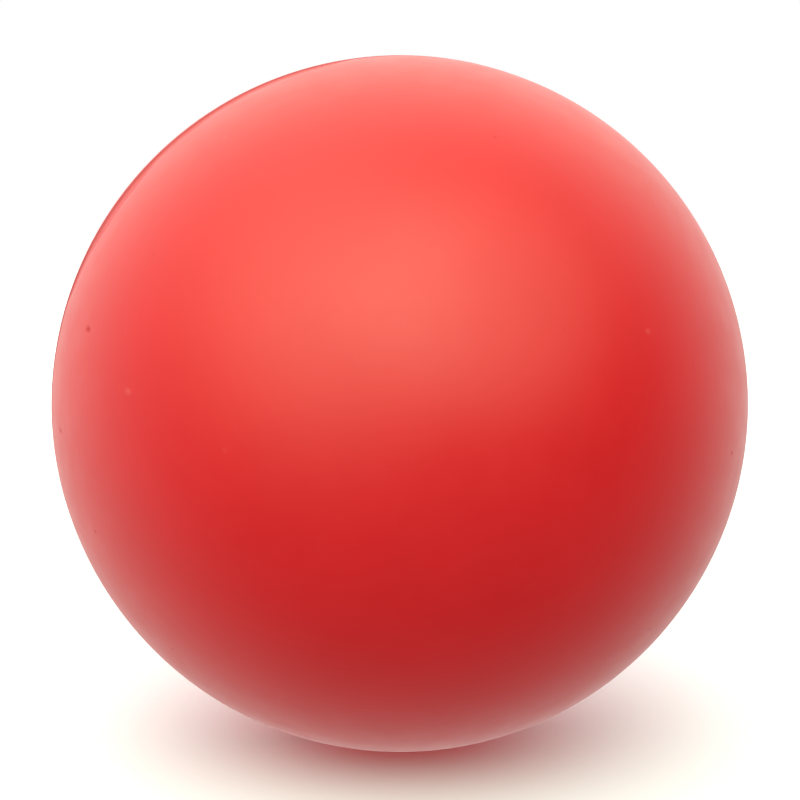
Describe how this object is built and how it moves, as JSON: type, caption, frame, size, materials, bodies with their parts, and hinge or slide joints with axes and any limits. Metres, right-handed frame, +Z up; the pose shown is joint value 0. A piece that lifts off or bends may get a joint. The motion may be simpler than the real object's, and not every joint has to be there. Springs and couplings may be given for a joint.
{
  "type": "foam dodgeball",
  "caption": "Soft round ball for throwing games: a foam core in a smooth moulded elastomer skin, with a filled parting line, a sealed gate and sealed vents.",
  "frame": {"origin": "centre of the ball, in the parting plane of its skin", "axes": "+Y along the mould axis, from the front half of the skin to the rear half with the gate and the vents; +Z up; +X to the right, seen from the front"},
  "size_m": [0.1782, 0.1781, 0.1782],
  "materials": {
    "skin": "satin",
    "brushed_elastomer": "satin",
    "foam": "matte"
  },
  "bodies": {
    "root": {"front_skin": "skin", "rear_skin": "skin", "seam_band": "brushed_elastomer", "foam_core": "foam", "gate_seal": "brushed_elastomer", "vent_seals": "brushed_elastomer"}
  },
  "joints": []
}
